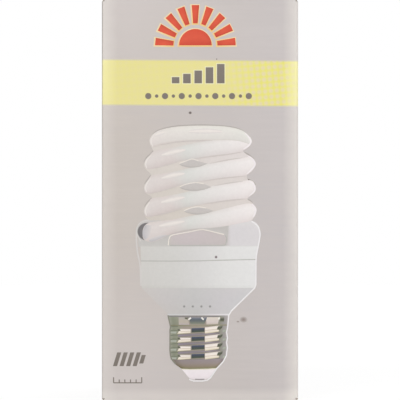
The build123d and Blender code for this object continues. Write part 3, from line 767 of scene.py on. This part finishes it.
lampInk(
    "print_left_ear", [earField(-20.4, 7.5, 72.7, 5.0)], 2,
    "ink_left_ear", {0: "#c9c6c2", 0.5: "#c6c2bf", 1: "#cec9c6"},
)
lampInk(
    "print_right_ear", [earField(20.2, 7.8, 72.8, 5.2)], 2,
    "ink_right_ear", {0: "#dcd8d9", 0.7: "#dcd8d9", 1: "#e2dedd"},
    {0: "#eae6e4", 0.15: "#fdfdfd", 1: "#ffffff"},
)
lampInk(
    "print_mouth", [disc((-23.35, 67.6), 4.45, 4.1)], 3,
    "ink_dark_mouth", {0: "#96928f", 0.6: "#7d7979", 0.9: "#737071", 1: "#9b9795"},
)
leftEdge = [
    (-28.0, 69.6), (-28.2, 67.1), (-28.2, 63.0), (-27.7, 57.9), (-26.9, 54.2), (-26.4, 50.2), (-26.2, 43.0),
]
hood = [(-26.3, 63.2), (-27.8, 66.3), (-28.0, 68.6), (-27.1, 71.0), (-24.8, 72.5), (-22.4, 72.8)]
edgeInk = printedInk("ink_dim_edge", {0: "#d3cfcc", 1: "#d6d1ce"})
lampInk("print_left_edge", [stroke(smoothLine(leftEdge), 0.7)], 4, edgeInk)
lampInk("print_hood", [stroke(smoothLine(hood), 0.5)], 5, edgeInk)
shadeLow = [(2.0, 68.4), (7.0, 67.2), (11.0, 66.0), (13.2, 62.0)]
shadeHigh = [(2.5, 69.5), (7.0, 71.0), (11.0, 72.0), (13.8, 73.0)]
lampInk(
    "print_shade", [between(shadeLow, shadeHigh)], 3,
    "ink_soft_shade", {0: "#cac5c2", 0.5: "#c4c0bc", 1: "#c8c3c0"},
)
windowFoot = [(-12.9, 61.9), (-12.2, 61.4), (-10.4, 61.3), (0.9, 61.3), (11.2, 61.3), (12.4, 61.8)]
windowRoof = [(-13.2, 64.6), (-12.3, 66.4), (-10.6, 67.1), (0.9, 68.4), (11.4, 66.1), (12.9, 64.6)]
windowLine = [
    (-13.8, 61.4), (-13.4, 64.4), (-12.4, 65.8), (-9.7, 66.5), (-3.7, 67.6),
    (1.0, 68.5), (3.7, 68.2), (8.3, 67.1), (11.6, 66.3),
]
lampInk(
    "print_window", [between(windowFoot, windowRoof, 5)], 4,
    "ink_window", {0: "#c5bfbd", 0.3: "#cac2c1", 1: "#ccc4c3"}, {0: "#fdfdf9", 0.5: "#fffcfe", 1: "#fbfaf8"},
)
lampInk("print_window_line", [stroke(smoothLine(windowLine), 0.5)], 10, outlineInk)
sill = [(-13.0, 61.3), (-4.0, 61.25), (4.0, 61.25), (11.4, 61.35), (12.4, 62.3), (12.75, 64.4), (12.2, 65.8)]
sillInk = printedInk("ink_grey_line", {0: "#b6b4af", 1: "#bab8b3"})
lampInk("print_sill", [stroke(smoothLine(sill), 0.42)], 5, sillInk)

# Printed housing: rim, band and cone, lighter to the right, with a seam, vents and a pale line at the neck
sideTint = {0: "#e9e7e3", 0.3: "#ebeae7", 0.5: "#f1f0ef", 0.75: "#fbfbfa", 1: "#ffffff"}
seamLine = np.stack([np.linspace(-26.2, 26.1, 5), [54.28, 54.2, 54.3, 54.68, 54.95]], -1)
seamGap = [0.0, 0.05]  # from the seam's middle to the fields over and under it
rimEdge = np.linspace([-26.4, 61.2], [27.2, 61.2], 5)
bandEdge = np.linspace([-25.8, 42.0], [25.7, 42.0], 5)
coneFoot = np.linspace([-14.2, 30.3], [14.0, 30.3], 9)
coneTop = np.linspace([-25.8, 42.0], [25.7, 42.0], 9)
lampInk(
    "print_rim", [between(seamLine + seamGap, rimEdge, 3)], 3,
    "ink_rim", {0: "#e5e4e3", 0.9: "#e7e6e5", 1: "#dedcda"}, sideTint,
)
lampInk(
    "print_band", [between(bandEdge, seamLine - seamGap, 3)], 3,
    "ink_band", {0: "#e1e0de", 0.12: "#e6e5e4", 1: "#e7e6e5"}, sideTint,
)
lampInk(
    "print_cone", [between(coneFoot, coneTop, 5)], 2, "ink_cone",
    {0: "#cccaca", 0.5: "#cecccd", 1: "#d1cfcf"},
    {0: "#fcf8f3", 0.12: "#faf7f4", 0.45: "#f6f6f4", 0.8: "#fefcfd", 1: "#ffffff"},
)
lampInk("print_seam", [stroke(seamLine, 0.4)], 4, sillInk)
lampInk(
    "print_vents", [disc((x, 33.6), 0.62, 0.6) for x in np.linspace(-6.55, 5.2, 4)], 3,
    "ink_vent", {0: "#8d8b89", 0.6: "#9b9997", 1: "#bebcbb"},
)
lampInk(
    "print_neck_line", [stroke([(-14.1, 29.92), (13.9, 29.92)], 0.9)], 3, "ink_neck_line",
    {0: "#d6d3d2", 0.5: "#ebe8ea", 1: "#d8d5d5"},
    {0: "#e8e9e8", 0.5: "#e5e6e4", 0.75: "#f5f3f4", 1: "#ffffff"},
)
# halo down the lamp's right side, from the ear to the tip
earSide = [
    (24.0, 72.4), (26.8, 70.1), (27.85, 67.2), (27.7, 64.4), (27.05, 60.9), (26.3, 57.0), (26.05, 53.8),
]
haloPath = [
    *smoothLine(earSide), (26.0, 43.4), (25.4, 41.9), (14.9, 31.6), (13.7, 29.6), (13.2, 24.4), (12.7, 21.9),
    (13.1, 19.4), (12.7, 17.2), (13.1, 14.9), (12.8, 13.1), (12.6, 11.3), (11.2, 8.6), (9.4, 6.6), (8.2, 5.4),
    (5.4, 1.2), (3.9, 0.1), (1.6, -0.25), (-2.4, -0.2), (-4.3, 0.5),
]
lampInk("print_halo", [stroke(haloPath, 0.6)], 9, "ink_halo", {0: "#efecec", 1: "#f4f1f2"})
print("printed cover and housing laid")

# Printed screw cap: the shell's outline from top to bottom, then bright and dark blocks row by row
shellLeft = [
    (-14.0, 29.6), (-13.6, 27.6), (-12.9, 24.5), (-13.1, 23.0), (-13.1, 20.8),
    (-13.1, 16.3), (-13.1, 13.6), (-12.5, 10.0), (-10.5, 7.4), (-7.8, 5.6),
]
shellRight = [
    (13.2, 29.6), (13.1, 27.6), (12.9, 24.5), (12.6, 22.4), (12.8, 19.4),
    (12.5, 16.3), (12.7, 13.6), (11.8, 9.5), (9.5, 7.0), (8.1, 5.6),
]
lampInk(
    "print_shell", [between(shellLeft, shellRight, 3)], 2, "ink_shell",
    {0: "#a3a598", 0.07: "#8e9381", 0.16: "#999b8a", 0.24: "#a1988f", 0.75: "#a79e93", 0.88: "#97978a",
     0.94: "#a2a09e", 1: "#b3aeae"},
    {0: "#fffdfd", 0.18: "#f6f3f0", 0.24: "#fbf8f4", 0.74: "#f6f4f0", 0.82: "#e6e0de", 1: "#e1dcc8"},
)
shellEdge = smoothLine(shellLeft[:9]) + [0.1, 0.0]
lampInk(
    "print_shell_edge", [stroke(shellEdge, 0.6)], 5,
    "ink_shell_edge", {0: "#a09d92", 0.5: "#7b7a6e", 1: "#9b9a8c"},
)
tipInk = printedInk("ink_dark_tip", {0: "#77775f", 0.5: "#4c5046", 1: "#8d8c7c"})
thread = {
    "first": 22.8,  # height of the highest turn
    "pitch": 3.92,
    "turns": 4,
    "slope": 0.06,  # of the grey strips
    "strip": 1.25,  # their height
}
stripX = np.array([-9.3, 9.6])
strip = np.stack([stripX, thread["slope"] * stripX - thread["pitch"] / 2], -1)
halfStrip = [0.0, thread["strip"] / 2]
# One turn about its middle height: bright blocks left and right of a dark one, dark tips at their ends, seams
# along them, a grey strip on the slope half a pitch below, and fine lines and pale crests at the sides
threadParts = {  # shapes, layer and ink
    "greys": (
        [between(strip - halfStrip, strip + halfStrip, 3)], 3, "ink_grey_metal",
        {0: "#8f8b80", 0.5: "#a096a4", 1: "#8f8d8a"},
        {0: "#f0ecec", 0.45: "#e4e2dc", 0.6: "#ebe8e0", 0.75: "#fffdf6", 1: "#dad8cc"},
    ),
    "lines": ([
        stroke([(-13.0, 1.5), (-11.0, 1.75), (-9.3, 1.75)], 0.35),
        stroke([(-12.9, -0.3), (-11.5, 0.0), (-9.6, -0.1)], 0.3),
    ], 3, "ink_green_line", {0: "#6b7160", 1: "#7a806d"}),
    "bright": ([
        between([(-9.7, -1.7), (-3.6, -1.2)], [(-8.3, 0.6), (-3.6, 0.5)], 3),
        between([(2.9, -1.5), (9.1, -0.7)], [(2.9, 1.3), (9.9, 2.2)], 3),
    ], 4, "ink_bright_metal", {0: "#d9cea9", 0.2: "#f0e5d5", 0.8: "#f6ede5", 1: "#e2d7cf"}),
    "dark": (
        [between([(-3.2, -1.1), (2.7, -0.8)], [(-3.2, 0.95), (2.7, 1.15)], 5)], 4, "ink_dark_metal",
        {0: "#6a6f58", 0.2: "#454d45", 0.55: "#444b50", 0.85: "#484e62", 1: "#6f7480"},
    ),
    "tips": ([
        between([(8.3, 0.3), (9.6, 0.1), (10.7, 1.1)], [(8.8, 1.8), (9.9, 2.1), (11.0, 2.3)], 3),
        between([(-9.5, -0.2), (-8.1, -0.5)], [(-9.5, 0.7), (-8.5, 0.5)], 3),
    ], 5, tipInk),
    "crests": ([
        between([(-12.8, -1.5), (-10.2, -1.6)], [(-12.7, -0.6), (-10.0, -0.5)], 3),
        between([(10.9, -1.0), (12.4, -0.6)], [(11.0, 0.2), (12.4, 0.5)], 3),
    ], 3, "ink_pale_crest", {0: "#9ba08f", 0.5: "#b3b6aa", 1: "#a2a799"}),
    "seams": ([
        stroke([(-8.0, -0.5), (-3.6, -0.4)], 0.28),
        stroke([(3.0, -0.1), (9.3, 0.55)], 0.28),
    ], 4.6, "ink_thread_seam", {0: "#cfc0af", 1: "#d8cabb"}),
}
turnHeights = thread["first"] - thread["pitch"] * np.arange(thread["turns"])
for kind, (shapes, *ink) in threadParts.items():
    lampInk("print_thread_" + kind, [shape + [0.0, z] for z in turnHeights for shape in shapes], *ink)

# Skirt over the thread: a dull field, a bright one and a dark window with slanted sparks in its corners
skirtBright = between([(3.6, 25.4), (8.8, 25.6)], [(3.4, 28.7), (9.4, 28.7)], 4)
skirtDull = between([(-9.0, 25.3), (-4.2, 25.3)], [(-9.1, 28.7), (-5.0, 28.7)], 4)
skirtWindow = between([(-3.6, 25.5), (2.6, 25.5)], [(-4.6, 28.7), (3.9, 28.7)], 5)
skirtWedges = [
    between([(-6.2, 28.0), (-5.0, 27.6)], [(-6.4, 28.6), (-4.8, 28.7)], 3),
    between([(9.7, 26.8), (11.5, 26.8)], [(10.1, 28.6), (11.7, 28.7)], 3),
]
sparks = [[(-4.6, 27.6), (-3.5, 28.5)], [(1.3, 28.6), (2.3, 27.6)], [(9.1, 27.7), (9.5, 28.7)]]
shellTopInk = printedInk("ink_shell_top", {0: "#98938f", 0.5: "#7f7d7e", 1: "#96928f"})
lampInk(
    "print_skirt_bright", [skirtBright], 3,
    "ink_skirt", {0: "#cabeb0", 0.3: "#d6cac6", 0.7: "#ddd3ca", 1: "#dfd6ca"},
)
lampInk("print_skirt_dull", [skirtDull], 3, "ink_skirt_dull", {0: "#bbb0ae", 0.45: "#bdb3a4", 1: "#b5afac"})
lampInk(
    "print_skirt_dark", [skirtWindow], 4,
    "ink_skirt_dark", {0: "#8f907f", 0.3: "#727870", 0.65: "#5d646b", 0.85: "#747983", 1: "#908f95"},
)
lampInk("print_skirt_wedges", skirtWedges, 5, tipInk)
lampInk(
    "print_sparks", [stroke(spark, 0.75) for spark in sparks], 6,
    "ink_spark", {0: "#e9e3da", 0.5: "#faf7f1", 1: "#e9e3da"},
)
lampInk(
    "print_skirt_line", [stroke([(-12.9, 25.0), (0.0, 24.9), (12.8, 25.2)], 0.5)], 4.3,
    "ink_skirt_line", {0: "#8f8c74", 1: "#9d9781"}, {0: "#d6d8cc", 0.3: "#ffffff"},
)
lampInk("print_shell_top", [stroke([(-13.3, 29.1), (0.0, 29.1), (9.4, 29.1)], 0.5)], 5, shellTopInk)

# Bowl under the thread, then the insulator and the contact at the tip
bowlFoot = [(-7.8, 5.4), (-4.0, 5.25), (4.2, 5.45), (8.1, 5.75)]
bowlTop = [(-11.9, 9.6), (-5.5, 9.3), (5.5, 9.6), (11.7, 9.9)]
bowlField = between(bowlFoot, bowlTop, 9)
bowlField[..., 0] *= 1 + 0.09 * np.sin(np.linspace(0, np.pi, 9))[:, None]  # sides swell out half way up
lampInk(
    "print_bowl", [bowlField], 4.3, "ink_bowl",
    {0: "#87855f", 0.25: "#95897a", 0.6: "#9c918f", 1: "#9c9297"},
    {0: "#c9c6ae", 0.2: "#f3f1ea", 0.85: "#fffdfb", 1: "#e0ddd6"},
)
insulatorFoot = [(-4.2, 1.0), (-2.6, 0.45), (3.0, 0.45), (4.8, 1.0)]
insulatorTop = [(-7.8, 5.3), (-4.0, 5.15), (4.2, 5.35), (8.1, 5.65)]
lampInk(
    "print_insulator", [between(insulatorFoot, insulatorTop, 5)], 4,
    "ink_insulator", {0: "#e9e0e2", 0.3: "#f2e9ec", 0.88: "#f3ebed", 0.97: "#e6e0c9", 1: "#cfcbb0"},
)
lampInk("print_contact", [stroke([(-1.6, 0.56), (0.6, 0.5), (2.6, 0.58)], 0.36)], 5, shellTopInk)
print("printed screw cap laid")

# Plain pictograms in panel millimetres: a rising sun, climbing bars, a row of beads, slanted bars and a ruler
sunLook = {
    "middle": (-1.4, 109.1),
    "disc": 5.0,
    "rays": 9,
    "fan": (0.97, 0.03),  # first and last ray, in half turns
    "inner": 6.7,
    "outer": 12.3,
    "width": 2.3,  # of a ray at its outer end
    "taper": 0.6,  # its inner end over its outer one
    "rim": 0.35,
}


# Half disc, and rays that widen outwards from its middle; rim makes each shape larger all round
def sunShapes(rim):
    look = sunLook
    x, z = look["middle"]
    turn = np.linspace(np.pi, 0, 41)
    r = look["disc"] + rim
    arc = np.stack([x + r * np.cos(turn), z + r * np.sin(turn)], -1)
    chord = np.stack([x + r * np.cos(turn), np.full_like(turn, z - rim)], -1)
    shapes = [between(chord, arc, 3)]
    wide = look["width"] / 2 + rim
    thin = look["width"] * look["taper"] / 2 + rim
    for angle in np.pi * np.linspace(*look["fan"], look["rays"]):
        out = np.array([np.cos(angle), np.sin(angle)])
        side = np.array([out[1], -out[0]])
        near = np.array([x, z]) + out * (look["inner"] - rim)
        far = np.array([x, z]) + out * (look["outer"] + rim)
        inner, outer = side * thin, side * wide
        shapes.append(between([near - inner, near + inner], [far - outer, far + outer], 3))
    return shapes


rimShift = [-0.1, -0.08]  # the rim's colour is printed a little off
inkPiece(
    "print_sun_rim", [shape + rimShift for shape in sunShapes(sunLook["rim"])], 1,
    "ink_amber_rim", {0: "#efcb86", 1: "#f2dcae"},
)
inkPiece(
    "print_sun", sunShapes(0.0), 2, "ink_red",
    {0: "#d04b37", 0.5: "#de5b40", 1: "#db523b"},
    {0: "#fff6ee", 0.3: "#ffffff", 0.7: "#fbf4f2", 1: "#e3cfcf"},
)

greyInk = printedInk("ink_warm_grey", {0: "#7d756d", 1: "#827a72"})
bars = {
    "left": -8.6, "foot": 97.5, "width": 2.3, "gap": 1.15, "rim": 0.25,
    "heights": (1.9, 2.9, 3.9, 4.9, 5.9),
}


# Upright bars on one foot, side by side; rim makes each larger all round
def barShapes(rim):
    shapes = []
    for place, height in enumerate(bars["heights"]):
        x = bars["left"] + place * (bars["width"] + bars["gap"])
        left, right = x - rim, x + bars["width"] + rim
        low, high = bars["foot"] - rim, bars["foot"] + height + rim
        shapes.append(between([(left, low), (right, low)], [(left, high), (right, high)]))
    return shapes


inkPiece("print_bar_rims", barShapes(bars["rim"]), 1, "ink_pale_rim", {0: "#efe9c0", 1: "#f1ebc6"})
inkPiece("print_bars", barShapes(0.0), 2, greyInk)

beads = {"left": -15.8, "right": 14.9, "height": 93.6, "count": 13, "radius": 0.95, "small": 0.55}
beadX = np.linspace(beads["left"], beads["right"], beads["count"])
beadR = beads["radius"] * np.where(np.arange(beads["count"]) % 2, beads["small"], 1.0)
inkPiece("print_beads", [disc((x, beads["height"]), r, r) for x, r in zip(beadX, beadR)], 2, greyInk)

slats = {
    "left": -26.6, "foot": 11.1, "width": 1.25, "gap": 0.75,
    "heights": (4.2, 4.2, 4.2, 4.2, 2.6),
    "lean": 1.3,  # of the first one's top to the right, and less on a lower one
}
slatShapes = []
for place, height in enumerate(slats["heights"]):
    left = slats["left"] + place * (slats["width"] + slats["gap"])
    low = slats["foot"] + (slats["heights"][0] - height) / 2
    lean = slats["lean"] * height / slats["heights"][0]
    foot = np.array([(left, low), (left + slats["width"], low)])
    slatShapes.append(between(foot, foot + [lean, height]))
inkPiece("print_slats", slatShapes, 1, greyInk)

ruler = {
    "left": -26.4, "right": -17.8, "foot": 6.0, "line": 0.32,
    "ticks": 6, "tick": 1.7,
    "long": 5,  # every fifth tick is long
    "short": 0.6,  # the others over it
}
rulerLine = stroke([(ruler["left"], ruler["foot"]), (ruler["right"], ruler["foot"])], ruler["line"])
tickX = np.linspace(ruler["left"], ruler["right"], ruler["ticks"])
tickShare = np.where(np.arange(ruler["ticks"]) % ruler["long"], ruler["short"], 1.0)
tickTop = ruler["foot"] + ruler["tick"] * tickShare
ticks = [stroke([(x, ruler["foot"]), (x, top)], ruler["line"]) for x, top in zip(tickX, tickTop)]
inkPiece("print_ruler", [rulerLine], 1, greyInk)
inkPiece("print_ruler_ticks", ticks, 1.5, greyInk)

# Specks of dirt and a smudge, as on the real panel
specks = [disc((-3.0, 88.5), 0.5, 0.45), disc((5.1, 104.9), 0.22, 0.2), disc((14.9, 68.0), 0.24, 0.3)]
inkPiece("print_specks", specks, 1.3, "ink_speck", {0: "#6a615d", 0.6: "#7b726d", 1: "#b3aaa6"})
inkPiece(
    "print_dark_speck", [disc((4.9, 44.42), 0.42, 0.44)], 5,
    "ink_dark_speck", {0: "#655c5d", 0.5: "#7c7273", 1: "#c0b7b8"},
)
inkPiece(
    "print_smudge", [disc((13.3, 25.3), 1.2, 0.95), disc((11.6, 24.7), 0.5, 0.3)], 1,
    "ink_smudge", {0: "#8f8480", 0.4: "#a0958f", 1: "#c3bbb8"},
)
print("pictograms and specks laid")

# Camera, light and floor

view = {"lens": 200.0, "sensor": 36.0, "height": 61.85, "width": 122.2}  # width of the picture at the panel
reachMm = view["width"] * view["lens"] / view["sensor"]
camera = bpy.data.objects.new("camera", bpy.data.cameras.new("camera"))
camera.data.lens = view["lens"]
camera.data.sensor_width = view["sensor"]
camera.data.clip_start = 0.01
camera.location = (0.0, (-half - reachMm) * mm, view["height"] * mm)
camera.rotation_euler = (np.pi / 2, 0.0, 0.0)
bpy.context.collection.objects.link(camera)
bpy.context.scene.camera = camera

studio = {
    "ambient": 0.52,
    "lamps": {  # place in metres, side in metres, watts
        "key": ((-0.55, -1.0, 0.95), 0.9, 7.2),
        "fill": ((0.9, -0.9, 0.5), 0.9, 3.3),
        "back": ((0.5, 0.9, 0.9), 0.9, 5.1),
    },
}
middle = np.array([0.0, 0.0, cartonHigh[2] * mm / 2])
for name, (place, side, watts) in studio["lamps"].items():
    lamp = bpy.data.lights.new(name, "AREA")
    lamp.size = side
    lamp.energy = watts
    holder = bpy.data.objects.new(name, lamp)
    holder.location = place
    away = np.array(place) - middle
    pitch = np.arctan2(np.hypot(away[0], away[1]), away[2])
    holder.rotation_euler = (pitch, 0.0, np.arctan2(away[0], -away[1]))
    bpy.context.collection.objects.link(holder)


# 1 where the camera sees a thing itself, or by way of gloss or glass, and 0 where the thing only gives light
def seenRays(add):
    rays = add("LightPath", {}).outputs
    seen = add("Math", [rays["Is Camera Ray"], rays["Is Glossy Ray"]], operation="MAXIMUM")
    return add("Math", [seen, rays["Is Transmission Ray"]], operation="MAXIMUM")


world = bpy.data.worlds.new("studio")
bpy.context.scene.world = world
world.use_nodes = True
world.node_tree.nodes.clear()
addSky = partial(addNode, world.node_tree)
level = addSky("MapRange", {0: seenRays(addSky), 3: studio["ambient"], 4: 1.0})
glow = addSky("Background", {"Color": (1, 1, 1, 1), "Strength": level})
addSky("OutputWorld", {"Surface": glow})

floorLook = {"half": 900.0, "drop": 0.05, "grey": 0.9, "glow": 1.07, "shadow": 0.2}


def paleFloor():  # matt white studio sheet: white to the camera, with a faint shadow
    material, add, _, _ = newMaterial("studio_sheet")
    share = add("Math", [seenRays(add), 1 - floorLook["shadow"]], operation="MULTIPLY")
    lit = add("BsdfDiffuse", {"Color": (*[floorLook["grey"]] * 3, 1)})
    white = add("Emission", {"Color": (1, 1, 1, 1), "Strength": floorLook["glow"]})
    both = add("MixShader", [share, lit, white])
    add("OutputMaterial", {"Surface": both})
    return material


reachFloor = np.linspace(-floorLook["half"], floorLook["half"], 3)
floorX, floorY = np.meshgrid(reachFloor, reachFloor)
floorMesh = bpy.data.meshes.new("floor")
floorPoints = np.stack([floorX, floorY, np.full_like(floorX, -floorLook["drop"])], -1).reshape(-1, 3) * mm
floorMesh.from_pydata(floorPoints.tolist(), [], [[0, 1, 4, 3], [1, 2, 5, 4], [3, 4, 7, 6], [4, 5, 8, 7]])
floorMesh.materials.append(paleFloor())
floor = bpy.data.objects.new("floor", floorMesh)
bpy.context.collection.objects.link(floor)
bpy.context.scene.view_settings.view_transform = "Standard"
print("camera, lamps and floor set")
